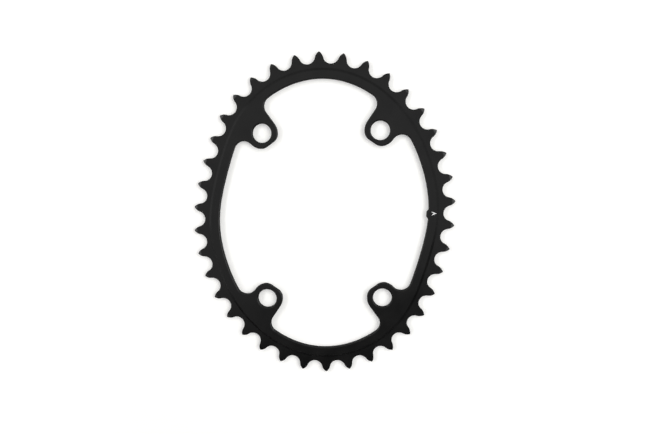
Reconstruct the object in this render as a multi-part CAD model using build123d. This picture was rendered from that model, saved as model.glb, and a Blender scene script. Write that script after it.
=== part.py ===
from build123d import *
import math
import os

# Chain and tooth form, in millimetres and degrees
chain_pitch = 12.7
tooth_count = 38
first_roller_angle = 0.38
seat_radius = 4.25
flank_lean = 12.3
flank_radius = 5.5
tip_round = 0.4

# Cam: four swings of the pitch line about its mean radius, each with the angle where it peaks
lobe_swing = 8.42
lobe_angle = 87.9
flat_swing = 0.95
flat_angle = 9.4
corner_swing = 0.31
corner_angle = 4.4
ripple_swing = 0.14
ripple_angle = -3.9

# Plate: a thin toothed band round a thicker body, flush with it on the lower face
tooth_thickness = 2.1
body_thickness = 2.9
root_band = 2.3
shoulder_run = 1.3
tip_bevel_width = 1.7
tip_bevel_angle = 15.5
limb_width = 7.85
edge_break = 0.3

# Four bolt tabs on the bolt circle, in two pairs
bolt_circle = 110.0
pair_angle = 70.0
bolt_hole = 10.2
hole_chamfer = 0.4
tab_half_width = 8.4
tab_flat_cut = 1.0
tab_corner = 5.5
web_fillet = 5.4

# Locating nub on the inner edge
nub_angle = -0.55
nub_length = 5.3
nub_crest = 2.7
nub_height = 1.05
nub_round = 0.5

# Stretches that the cam's outline is drawn in, points along each, and halvings in each search for a value
rim_stretches = 8
stretch_points = 13
search_steps = 50

# Swings of the cam: how many to a turn, how high, and where one peaks
cam_swings = [
    (2, lobe_swing, math.radians(lobe_angle)),
    (4, flat_swing, math.radians(flat_angle)),
    (6, corner_swing, math.radians(corner_angle)),
    (8, ripple_swing, math.radians(ripple_angle)),
]


def swing(angle):
    """How far the pitch line stands outside its mean radius."""
    return sum(height * math.cos(times * (angle - peak)) for times, height, peak in cam_swings)


def swing_rate(angle):
    """Change of the swing with the angle."""
    return sum(-times * height * math.sin(times * (angle - peak)) for times, height, peak in cam_swings)


def bisect(test, low, high):
    """The value between low and high where the test turns true."""
    for _ in range(search_steps):
        middle = (low + high) / 2
        if test(middle):
            high = middle
        else:
            low = middle
    return (low + high) / 2


def polar(radius, angle):
    return Vector(radius * math.cos(angle), radius * math.sin(angle))


def next_roller(angle, mean):
    """The angle of the roller one chain pitch further round the pitch line."""
    here = polar(mean + swing(angle), angle)

    def is_past(there):
        return (polar(mean + swing(there), there) - here).length > chain_pitch

    return bisect(is_past, angle, angle + math.tau / 4)


def roller_angles(mean):
    angles = [math.radians(first_roller_angle)]
    for _ in range(tooth_count):
        angles.append(next_roller(angles[-1], mean))
    return angles


def fits_in_one_turn(mean):
    """Whether the chain links wrap the pitch line in one turn or less."""
    angles = roller_angles(mean)
    return angles[-1] - angles[0] < math.tau


# The mean radius follows from the chain, whose links close exactly round the cam
round_radius = chain_pitch / (2 * math.sin(math.pi / tooth_count))
mean_radius = bisect(fits_in_one_turn, round_radius - lobe_swing, round_radius + lobe_swing)


def outward(angle):
    """The pitch line's normal, pointing out of the ring."""
    along = polar(swing_rate(angle), angle) + polar(mean_radius + swing(angle), angle + math.tau / 4)
    return Vector(along.Y, -along.X).normalized()


def rim_point(angle, inset):
    """A point at a depth inside the pitch line, square to it."""
    return polar(mean_radius + swing(angle), angle) - outward(angle) * inset


def rim_edge(start_angle, end_angle, inset):
    """A stretch of the cam's outline at a depth inside the pitch line."""
    step = (end_angle - start_angle) / (stretch_points - 1)
    angles = [start_angle + step * i for i in range(stretch_points)]
    ends = [outward(angle).rotate(Axis.Z, 90) for angle in (start_angle, end_angle)]
    return Spline([rim_point(angle, inset) for angle in angles], tangents=ends)


def rim_face(inset, height):
    """The cam's whole outline at a depth inside the pitch line, as a face."""
    turn = math.tau / rim_stretches
    edges = [rim_edge(turn * i, turn * (i + 1), inset) for i in range(rim_stretches)]
    return Pos(0, 0, height) * make_face(edges)


def arc_about(centre, start, end):
    """The shorter arc from start to end round a centre."""
    radius = (start - centre).length
    middle = ((start - centre) + (end - centre)).normalized() * radius
    return ThreePointArc(start, centre + middle, end)


# Half of a tooth in its own frame: the chord between two rollers is the x axis, and the tip points along y
lean = math.radians(flank_lean)
foot = Vector(chain_pitch / 2 - seat_radius * math.cos(lean), -seat_radius * math.sin(lean))
flank_centre = foot - Vector(math.cos(lean), math.sin(lean)) * flank_radius
tip_rise = math.sqrt((flank_radius - tip_round) ** 2 - flank_centre.X**2)
tip_centre = Vector(0, flank_centre.Y + tip_rise)
tip_start = flank_centre + (tip_centre - flank_centre).normalized() * flank_radius
tip_height = tip_centre.Y + tip_round


rollers = [rim_point(angle, 0) for angle in roller_angles(mean_radius)[:-1]]
following = rollers[1:] + rollers[:1]


def tooth_points(start, end):
    """A tooth's points from one roller to the next: feet, tip ends and arc centres."""
    along = (end - start).normalized()
    up = Vector(along.Y, -along.X)
    middle = (start + end) / 2

    def place(point, side):
        return middle + along * (side * point.X) + up * point.Y

    names = {"foot": foot, "flank": flank_centre, "tip_end": tip_start, "tip": tip_centre}
    return {(name, side): place(point, side) for name, point in names.items() for side in (-1, 1)}


def tooth_outline():
    teeth = [tooth_points(start, end) for start, end in zip(rollers, following)]
    edges = []
    for i, tooth in enumerate(teeth):
        after = teeth[(i + 1) % tooth_count]
        edges.append(arc_about(tooth["flank", -1], tooth["foot", -1], tooth["tip_end", -1]))
        edges.append(arc_about(tooth["tip", 1], tooth["tip_end", -1], tooth["tip_end", 1]))
        edges.append(arc_about(tooth["flank", 1], tooth["tip_end", 1], tooth["foot", 1]))
        edges.append(arc_about(following[i], tooth["foot", 1], after["foot", -1]))
    return make_face(edges)


# Depths inside the pitch line
shoulder_inset = seat_radius + root_band
inner_inset = seat_radius + limb_width


def tip_bevels():
    """The two wedges that a tooth's tip loses, in the tooth's own frame."""
    run = 2 * tip_bevel_width
    rise = run * math.tan(math.radians(tip_bevel_angle))
    heel = tip_height - tip_bevel_width
    wedges = []
    for face_height, into in ((0, 1), (tooth_thickness, -1)):
        corners = [(heel, face_height), (heel + run, face_height), (heel + run, face_height + into * rise)]
        section = make_face(Plane.YZ * Polyline(corners, close=True))
        wedges.append(extrude(section, chain_pitch / 2, both=True))
    return wedges


def toothed_band():
    """The thin band with its teeth, bevelled at the tips on both faces."""
    wedges = tip_bevels()
    bevels = []
    for start, end in zip(rollers, following):
        tooth_frame = Plane((start + end) / 2, x_dir=start - end)
        bevels.extend(tooth_frame * wedge for wedge in wedges)
    return extrude(tooth_outline(), tooth_thickness) - bevels


def raised_body():
    """The step from the toothed band up to the body's face."""
    foot_face = rim_face(shoulder_inset, tooth_thickness)
    top_face = rim_face(shoulder_inset + shoulder_run, body_thickness)
    return loft([foot_face, top_face], ruled=True)


half_pair = pair_angle / 2
bolt_angles = [math.radians(a) for a in (90 - half_pair, 90 + half_pair, 270 - half_pair, 270 + half_pair)]


def nearest_on_tab(point, bolt_angle):
    """The nearest point of the tab's middle line, which runs outwards from its hole."""
    radial = polar(1, bolt_angle)
    hole = radial * (bolt_circle / 2)
    return hole + radial * max(0, (point - hole).dot(radial))


def web_corner(bolt_angle, side):
    """The fillet between a tab and the limb: its place round the rim, its centre and its end on the tab."""

    def clears_tab(angle):
        centre = rim_point(angle, inner_inset + web_fillet)
        gap = (centre - nearest_on_tab(centre, bolt_angle)).length
        return gap > tab_half_width + web_fillet

    turned = bisect(lambda turn: clears_tab(bolt_angle + side * turn), 0, math.tau / 8)
    angle = bolt_angle + side * turned
    centre = rim_point(angle, inner_inset + web_fillet)
    spine = nearest_on_tab(centre, bolt_angle)
    tab_end = centre + (spine - centre).normalized() * web_fillet
    return angle, centre, tab_end


def tab_edges(bolt_angle):
    """A tab's outline inside the limb, anticlockwise round the opening."""
    radial = polar(1, bolt_angle)
    across = polar(1, bolt_angle + math.tau / 4)
    hole = radial * (bolt_circle / 2)
    corner_reach = tab_half_width - tab_corner
    corner_drop = corner_reach - tab_flat_cut
    corner_shift = math.sqrt(corner_reach**2 - corner_drop**2)
    edges = []
    for side in (-1, 1):
        angle, centre, tab_end = web_corner(bolt_angle, side)
        corner = hole - radial * corner_drop + across * (side * corner_shift)
        corner_start = hole + (corner - hole).normalized() * tab_half_width
        flat_end = corner - radial * tab_corner
        side_foot = hole + across * (side * tab_half_width)
        run = [arc_about(centre, rim_point(angle, inner_inset), tab_end)]
        if (tab_end - hole).dot(radial) > 0:
            run.append(Line(tab_end, side_foot))
            run.append(arc_about(hole, side_foot, corner_start))
        else:
            run.append(arc_about(hole, tab_end, corner_start))
        run.append(arc_about(corner, corner_start, flat_end))
        edges.extend(run)
        if side < 0:
            flat_start = flat_end
    edges.append(Line(flat_start, flat_end))
    return edges


def opening_outline():
    edges = []
    next_bolts = bolt_angles[1:] + [bolt_angles[0] + math.tau]
    for bolt_angle, next_bolt in zip(bolt_angles, next_bolts):
        edges.extend(tab_edges(bolt_angle))
        limb_start = web_corner(bolt_angle, 1)[0]
        limb_end = web_corner(next_bolt, -1)[0]
        edges.append(rim_edge(limb_start, limb_end, inner_inset))
    return make_face(edges)


def nub():
    """The small wedge on the inner edge that shows which way the ring goes on."""
    angle = math.radians(nub_angle)
    base = limb_width / 2
    outline = [(-base, -nub_length / 2), (0, -nub_length / 2), (nub_height, -nub_crest / 2)]
    outline += [(x, -y) for x, y in reversed(outline)]
    profile = make_face(Polyline(outline, close=True))
    profile = fillet(profile.vertices().group_by(Axis.X)[-1], nub_round)
    inward = -outward(angle)
    turn = math.degrees(math.atan2(inward.Y, inward.X))
    seat = rim_point(angle, inner_inset)
    return Pos(seat.X, seat.Y) * Rot(0, 0, turn) * profile


opening = extrude(opening_outline() - nub(), body_thickness)
chainring = toothed_band() + raised_body() - opening
for face_rank in (0, -1):
    face = chainring.faces().sort_by(Axis.Z)[face_rank]
    chainring = chamfer(face.inner_wires()[0].edges(), edge_break)

for bolt_angle in bolt_angles:
    hole = polar(bolt_circle / 2, bolt_angle)
    stand = (Align.CENTER, Align.CENTER, Align.MIN)
    bore = Cylinder(bolt_hole / 2, body_thickness, align=stand)
    mouth = Cone(bolt_hole / 2 + hole_chamfer, bolt_hole / 2, hole_chamfer, align=stand)
    drill = bore + mouth + Pos(0, 0, body_thickness) * Rot(180, 0, 0) * mouth
    chainring -= Pos(hole.X, hole.Y) * drill

os.makedirs("parts", exist_ok=True)
export_step(chainring, "parts/chainring.step")
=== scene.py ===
import math
import bpy
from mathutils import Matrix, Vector


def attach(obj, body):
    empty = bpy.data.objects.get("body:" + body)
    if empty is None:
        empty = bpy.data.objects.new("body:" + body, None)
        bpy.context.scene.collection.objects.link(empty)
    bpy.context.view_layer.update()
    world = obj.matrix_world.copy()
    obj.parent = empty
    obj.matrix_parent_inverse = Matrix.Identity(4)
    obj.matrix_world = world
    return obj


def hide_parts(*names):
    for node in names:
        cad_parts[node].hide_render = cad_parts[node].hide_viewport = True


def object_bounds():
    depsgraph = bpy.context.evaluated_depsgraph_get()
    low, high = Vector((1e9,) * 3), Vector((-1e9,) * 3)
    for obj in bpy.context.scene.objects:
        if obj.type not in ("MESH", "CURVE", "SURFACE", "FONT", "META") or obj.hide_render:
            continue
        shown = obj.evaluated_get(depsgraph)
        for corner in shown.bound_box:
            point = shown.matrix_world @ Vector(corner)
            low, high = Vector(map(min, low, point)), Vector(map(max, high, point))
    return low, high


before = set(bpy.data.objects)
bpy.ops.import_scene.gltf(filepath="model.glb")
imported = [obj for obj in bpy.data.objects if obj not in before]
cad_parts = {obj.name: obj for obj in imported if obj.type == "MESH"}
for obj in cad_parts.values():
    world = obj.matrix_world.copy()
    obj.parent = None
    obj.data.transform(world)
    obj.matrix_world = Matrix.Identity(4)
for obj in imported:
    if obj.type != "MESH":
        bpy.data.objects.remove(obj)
cad_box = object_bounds()

# Chainring
# One cam-shaped ring, milled from hard aluminium plate, with its edges broken and its faces blasted matt.
# It is anodised black all over. The milled walls are rougher than the flat faces and the tips' bevels.
weld_gap = 0.000001
flat_within = math.radians(0.3)
slight_crease = math.radians(13)
broken_crease = math.radians(40)
broken_edge = 0.00014
edge_segments = 2
wall_normal = 0.5
bevel_normals = (0.955, 0.970)
anodised_deep = (0.0034, 0.0034, 0.0035, 1)
anodised_pale = (0.0065, 0.0064, 0.0063, 1)
face_roughness = (0.17, 0.23)
wall_roughness = (0.60, 0.70)
bevel_roughness = (0.19, 0.23)
face_gloss = 0.33
wall_gloss = 0.05
bevel_gloss = 0.21
cloud_size = 0.011
grain_size = 0.0004
noise_detail = 3
noise_middle = (0.3, 0.7)
grain_depth = 0.00002
grain_strength = 0.3
pass_height = 0.00035
pass_wobble = 0.6
pass_detail = 1
bands_in_a_metre = 20 / math.tau  # of a wave texture whose scale is 1


def add_node(tree, kind, sockets, **options):
    """Adds a shader node whose sockets each take a value or the output of another node."""
    node = tree.nodes.new(kind)
    for name, value in options.items():
        setattr(node, name, value)
    for name, value in sockets.items():
        if isinstance(value, bpy.types.NodeSocket):
            tree.links.new(value, node.inputs[name])
        else:
            node.inputs[name].default_value = value
    return node


def blasted_surface():
    """The uneven finish that every surface of the ring shares: pale and dark clouds, and a fine grain."""
    group = bpy.data.node_groups.new("blasted_surface", "ShaderNodeTree")
    for name in ("Cloud Size", "Grain Size"):
        group.interface.new_socket(name, in_out="INPUT", socket_type="NodeSocketFloat")
    for name in ("Cloud", "Grain"):
        group.interface.new_socket(name, in_out="OUTPUT", socket_type="NodeSocketFloat")
    sizes = add_node(group, "NodeGroupInput", {})
    place = add_node(group, "ShaderNodeTexCoord", {})
    effects = {}
    for name in ("Cloud", "Grain"):
        scale = add_node(group, "ShaderNodeMath", {0: 1.0, 1: sizes.outputs[name + " Size"]},
                         operation="DIVIDE")
        noise = add_node(group, "ShaderNodeTexNoise", {
            "Vector": place.outputs["Object"], "Scale": scale.outputs["Value"], "Detail": noise_detail})
        effects[name] = noise.outputs["Fac"]
    add_node(group, "NodeGroupOutput", effects)
    return group


blast = blasted_surface()


def blank_material(name):
    """Starts a material with no nodes in it."""
    material = bpy.data.materials.new(name)
    material.use_nodes = True
    material.node_tree.nodes.clear()
    return material, material.node_tree


def blasted_material(name):
    """Starts a material with the shared finish in it."""
    material, tree = blank_material(name)
    finish = add_node(tree, "ShaderNodeGroup", {"Cloud Size": cloud_size, "Grain Size": grain_size},
                      node_tree=blast)
    return material, tree, finish.outputs


def spread(tree, noise, low, high):
    """A value between two ends, over the middle of a noise."""
    return add_node(tree, "ShaderNodeMapRange", {
        "Value": noise, "From Min": noise_middle[0], "From Max": noise_middle[1],
        "To Min": low, "To Max": high}).outputs["Result"]


def two_tone(tree, noise, low, high):
    """A colour between two tones, over the middle of a noise."""
    ramp = add_node(tree, "ShaderNodeValToRGB", {"Fac": noise})
    for stop, position, colour in zip(ramp.color_ramp.elements, noise_middle, (low, high)):
        stop.position = position
        stop.color = colour
    return ramp.outputs["Color"]


def close_material(tree, shader):
    """Sends the last shader to the surface."""
    output = tree.nodes.new("ShaderNodeOutputMaterial")
    tree.links.new(shader.outputs[0], output.inputs["Surface"])


def anodised(name, roughness, gloss, pass_lines):
    """Black anodised metal; pass lines are the faint level lines of a cutter that went round in passes."""
    material, tree, finish = blasted_material(name)
    place = add_node(tree, "ShaderNodeTexCoord", {})
    passes = add_node(tree, "ShaderNodeTexWave", {
        "Vector": place.outputs["Object"], "Scale": 1 / (pass_height * bands_in_a_metre),
        "Distortion": pass_wobble, "Detail": pass_detail}, bands_direction="Z")
    height = add_node(tree, "ShaderNodeMath", {
        0: passes.outputs["Fac"], 1: pass_lines, 2: finish["Grain"]}, operation="MULTIPLY_ADD")
    bump = add_node(tree, "ShaderNodeBump", {
        "Height": height.outputs["Value"], "Strength": grain_strength, "Distance": grain_depth})
    shader = add_node(tree, "ShaderNodeBsdfPrincipled", {
        "Base Color": two_tone(tree, finish["Cloud"], anodised_deep, anodised_pale),
        "Roughness": spread(tree, finish["Cloud"], *roughness),
        "Normal": bump.outputs["Normal"], "Specular IOR Level": gloss})
    close_material(tree, shader)
    return material


def is_tip_bevel(polygon):
    return bevel_normals[0] < abs(polygon.normal.z) < bevel_normals[1]


bpy.ops.object.select_all(action="DESELECT")
cad_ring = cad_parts["chainring"]
cad_ring.select_set(True)
bpy.context.view_layer.objects.active = cad_ring
bpy.ops.object.duplicate()
ring = bpy.context.object
ring.name = "black_ring"

# The loose triangles are merged, and only the slight creases stay sharp: the others are rounded next
bpy.ops.object.mode_set(mode="EDIT")
bpy.ops.mesh.select_all(action="SELECT")
bpy.ops.mesh.remove_doubles(threshold=weld_gap)
bpy.ops.mesh.dissolve_limited(angle_limit=flat_within)
bpy.ops.mesh.select_mode(type="EDGE")
for angle, is_broken in ((slight_crease, False), (broken_crease, True)):
    bpy.ops.mesh.select_all(action="DESELECT")
    bpy.ops.mesh.edges_select_sharp(sharpness=angle)
    bpy.ops.mesh.mark_sharp(clear=is_broken)
bpy.ops.mesh.select_mode(type="FACE")
bpy.ops.object.mode_set(mode="OBJECT")
rounding = ring.modifiers.new("broken_edges", "BEVEL")
rounding.limit_method = "ANGLE"
rounding.angle_limit = broken_crease
rounding.width = broken_edge
rounding.segments = edge_segments
rounding.use_clamp_overlap = False
bpy.ops.object.modifier_apply(modifier=rounding.name)
bpy.ops.object.shade_smooth()

# The tips' bevels stay flat right up to their outlines
for polygon in ring.data.polygons:
    polygon.select = is_tip_bevel(polygon)
bpy.ops.object.mode_set(mode="EDIT")
bpy.ops.mesh.region_to_loop()
bpy.ops.mesh.mark_sharp()
bpy.ops.object.mode_set(mode="OBJECT")
evening = ring.modifiers.new("even_faces", "WEIGHTED_NORMAL")
evening.keep_sharp = True
bpy.ops.object.modifier_apply(modifier=evening.name)

ring.data.materials.clear()
ring.data.materials.append(anodised("anodised_face", face_roughness, face_gloss, pass_lines=0.0))
ring.data.materials.append(anodised("anodised_wall", wall_roughness, wall_gloss, pass_lines=1.0))
ring.data.materials.append(anodised("anodised_bevel", bevel_roughness, bevel_gloss, pass_lines=0.0))
for polygon in ring.data.polygons:
    if abs(polygon.normal.z) < wall_normal:
        polygon.material_index = ring.data.materials.find("anodised_wall")
    elif is_tip_bevel(polygon):
        polygon.material_index = ring.data.materials.find("anodised_bevel")
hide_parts("chainring")
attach(ring, "root")

# Index arrow
# A small white arrowhead of ink, printed on the face beside the locating nub.
# It points outwards and shows which tooth goes with the crank arm.
arrow_notch = (0.05917, 0.00064)
arrow_tip = (0.06078, 0.00059)
lower_barb = ((0.05802, -0.00036), (0.05802, -0.00047))
upper_barb = ((0.05797, 0.00150), (0.05797, 0.00163))
ink_depth = 0.00001
ink_film = 0.00003
ink_white = (0.90, 0.90, 0.89, 1)
ink_thin = (0.84, 0.84, 0.83, 1)
ink_roughness = 0.55


def white_ink():
    """Ink that is a little thinner over the grain's high spots."""
    material, tree, finish = blasted_material("white_ink")
    shader = add_node(tree, "ShaderNodeBsdfPrincipled", {
        "Base Color": two_tone(tree, finish["Grain"], ink_thin, ink_white), "Roughness": ink_roughness})
    close_material(tree, shader)
    return material


bpy.ops.object.select_all(action="DESELECT")
bpy.ops.mesh.primitive_grid_add(x_subdivisions=1, y_subdivisions=2)
arrow = bpy.context.object
arrow.name = "index_arrow"
arrow_corners = (*lower_barb, arrow_notch, arrow_tip, *upper_barb)
for corner, (x, y) in zip(arrow.data.vertices, arrow_corners):
    corner.co = (x, y, cad_box[1][2] - ink_depth)
film = arrow.modifiers.new("ink_film", "SOLIDIFY")
film.thickness = ink_film
film.offset = 1
bpy.ops.object.modifier_apply(modifier=film.name)
arrow.data.materials.append(white_ink())
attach(arrow, "root")

# Ground
# A large sheet of plain white card that the ring lies on.
# It keeps the ring's shade, and is seen as plain white further out.
card_size = 8.0
card_gap = 0.00002
card_white = (0.806, 0.801, 0.778, 1)
card_glow = 0.3
white_glow = 1.0
fade_start = 0.15
fade_end = 0.45


def seen_ray(tree):
    """One for a ray that shows a thing to the eye, or in gloss or glass, and nought for other rays."""
    ray = add_node(tree, "ShaderNodeLightPath", {})
    seen = ray.outputs["Is Camera Ray"]
    for name in ("Is Glossy Ray", "Is Transmission Ray"):
        either = add_node(tree, "ShaderNodeMath", {0: seen, 1: ray.outputs[name]}, operation="MAXIMUM")
        seen = either.outputs["Value"]
    return seen


def white_card():
    """Matt paper that is seen a little brighter than it is lit."""
    material, tree = blank_material("white_card")
    place = add_node(tree, "ShaderNodeTexCoord", {})
    reach = add_node(tree, "ShaderNodeVectorMath", {0: place.outputs["Object"]}, operation="LENGTH")
    fade = add_node(tree, "ShaderNodeMapRange", {
        "Value": reach.outputs["Value"], "From Min": fade_start, "From Max": fade_end,
        "To Min": card_glow, "To Max": white_glow}, interpolation_type="SMOOTHSTEP")
    glow = add_node(tree, "ShaderNodeMath", {0: seen_ray(tree), 1: fade.outputs["Result"]},
                    operation="MULTIPLY")
    paper = add_node(tree, "ShaderNodeBsdfDiffuse", {"Color": card_white})
    shine = add_node(tree, "ShaderNodeEmission", {"Strength": glow.outputs["Value"]})
    both = add_node(tree, "ShaderNodeAddShader", {0: paper.outputs["BSDF"], 1: shine.outputs["Emission"]})
    close_material(tree, both)
    return material


bpy.ops.object.select_all(action="DESELECT")
bpy.ops.mesh.primitive_plane_add(size=card_size, location=(0, 0, -card_gap))
bpy.ops.object.transform_apply(location=True)
card = bpy.context.object
card.name = "card"
card.data.materials.append(white_card())

# Screen
# A low strip of dark grey cloth that stands on the card at the viewer's side, well out of the picture.
# It keeps the white wall beyond it out of the ring's nearer slopes, and the camera doesn't see it.
screen_distance = 1.1
screen_length = 3.6
screen_height = 0.26
screen_grey = (0.06, 0.06, 0.06, 1)


def dark_cloth():
    """Matt cloth that only shows in the ring's gloss."""
    material, tree = blank_material("dark_cloth")
    close_material(tree, add_node(tree, "ShaderNodeBsdfDiffuse", {"Color": screen_grey}))
    return material


bpy.ops.object.select_all(action="DESELECT")
bpy.ops.mesh.primitive_plane_add(
    size=1, location=(0, -screen_distance, screen_height / 2), rotation=(math.radians(90), 0, 0))
bpy.ops.transform.resize(value=(screen_length, 1, screen_height))
bpy.ops.object.transform_apply(location=True, rotation=True, scale=True)
screen = bpy.context.object
screen.name = "screen"
screen.data.materials.append(dark_cloth())
screen.visible_camera = False

# Light
# Soft boxes stand round the ring: strong ones at its left and right, and weaker ones between them.
# The room is pale beyond the ring and dark on the viewer's side, with a low white wall round the card.
boxes = {
    "left": {"place": (-0.62, 0.175, 0.56), "width": 0.13, "length": 0.95, "radiance": 6.5},
    "near_left": {"place": (-0.62, -0.44, 0.56), "width": 0.13, "length": 0.28, "radiance": 3.2},
    "low_left": {"place": (-0.89, 0.24, 0.21), "width": 0.25, "length": 0.80, "radiance": 0.34},
    "right": {"place": (0.575, 0.085, 0.62), "width": 0.48, "length": 0.83, "radiance": 3.95},
    "near_right": {"place": (0.42, -0.47, 0.62), "width": 0.24, "length": 0.22, "radiance": 0.60},
    "top": {"place": (-0.03, 0.60, 0.64), "width": 0.22, "length": 0.95, "radiance": 1.4},
    "near": {"place": (0.0, -0.82, 0.42), "width": 0.16, "length": 1.5, "radiance": 0.32},
}
room_light = 0.65
room_shade = 0.09
pale_side = (-0.13, 0.966, -0.30)
side_edge = -0.51
side_blur = 0.025
room_levels = ((0.15, 0.50), (0.45, 0.55), (0.60, 0.25), (0.86, 0.30), (0.93, 1.0))
wall_top = 0.10
wall_blur = 0.02
for name, box in boxes.items():
    lamp = bpy.data.lights.new("soft_box_" + name, "AREA")
    lamp.shape = "RECTANGLE"
    lamp.size = box["width"]
    lamp.size_y = box["length"]
    lamp.energy = math.pi * box["width"] * box["length"] * box["radiance"]
    holder = bpy.data.objects.new(lamp.name, lamp)
    bpy.context.scene.collection.objects.link(holder)
    holder.location = box["place"]
    holder.rotation_euler = Vector(box["place"]).to_track_quat("Z", "X").to_euler()
    holder.visible_camera = False

world = bpy.data.worlds.new("pale_room")
world.use_nodes = True
bpy.context.scene.world = world
room = world.node_tree
way = add_node(room, "ShaderNodeTexCoord", {}).outputs["Generated"]
side = add_node(room, "ShaderNodeVectorMath", {0: way, 1: pale_side}, operation="DOT_PRODUCT")
side_light = add_node(room, "ShaderNodeMapRange", {
    "Value": side.outputs["Value"], "From Min": side_edge - side_blur, "From Max": side_edge + side_blur,
    "To Min": room_shade, "To Max": room_light}, interpolation_type="SMOOTHSTEP")
rise = add_node(room, "ShaderNodeSeparateXYZ", {"Vector": way}).outputs["Z"]
levels = add_node(room, "ShaderNodeValToRGB", {"Fac": rise})
stops = levels.color_ramp.elements
while len(stops) < len(room_levels):
    stops.new(1.0)
for stop, (height, level) in zip(stops, room_levels):
    stop.position = height
    stop.color = (level, level, level, 1)
room_glow = add_node(room, "ShaderNodeMath", {
    0: side_light.outputs["Result"], 1: levels.outputs["Color"]}, operation="MULTIPLY")
wall = add_node(room, "ShaderNodeMapRange", {
    "Value": rise, "From Min": wall_top, "From Max": wall_top + wall_blur,
    "To Min": seen_ray(room), "To Max": 0.0}, interpolation_type="SMOOTHSTEP")
brighter = add_node(room, "ShaderNodeMath", {
    0: room_glow.outputs["Value"], 1: wall.outputs["Result"]}, operation="MAXIMUM")
background = room.nodes["Background"]
background.inputs["Color"].default_value = (1, 1, 1, 1)
room.links.new(brighter.outputs["Value"], background.inputs["Strength"])

# Camera
# Close above the ring and a little off its axis, with the short lens of the photograph.
# Its place and turn are fitted to the four bolt holes and the teeth.
camera_place = (0.02425, 0.03502, 0.32235)
camera_turn = (-6.401, 3.962, -1.287)
sensor_width = 36.0
photo_width = 650
focal_pixels = 599.2
nearest_seen = 0.01
eye = bpy.data.cameras.new("camera")
eye.sensor_fit = "HORIZONTAL"
eye.sensor_width = sensor_width
eye.lens = sensor_width * focal_pixels / photo_width
eye.clip_start = nearest_seen
camera = bpy.data.objects.new("camera", eye)
bpy.context.scene.collection.objects.link(camera)
camera.location = camera_place
camera.rotation_euler = [math.radians(angle) for angle in camera_turn]
bpy.context.scene.camera = camera
bpy.context.scene.view_settings.view_transform = "Standard"
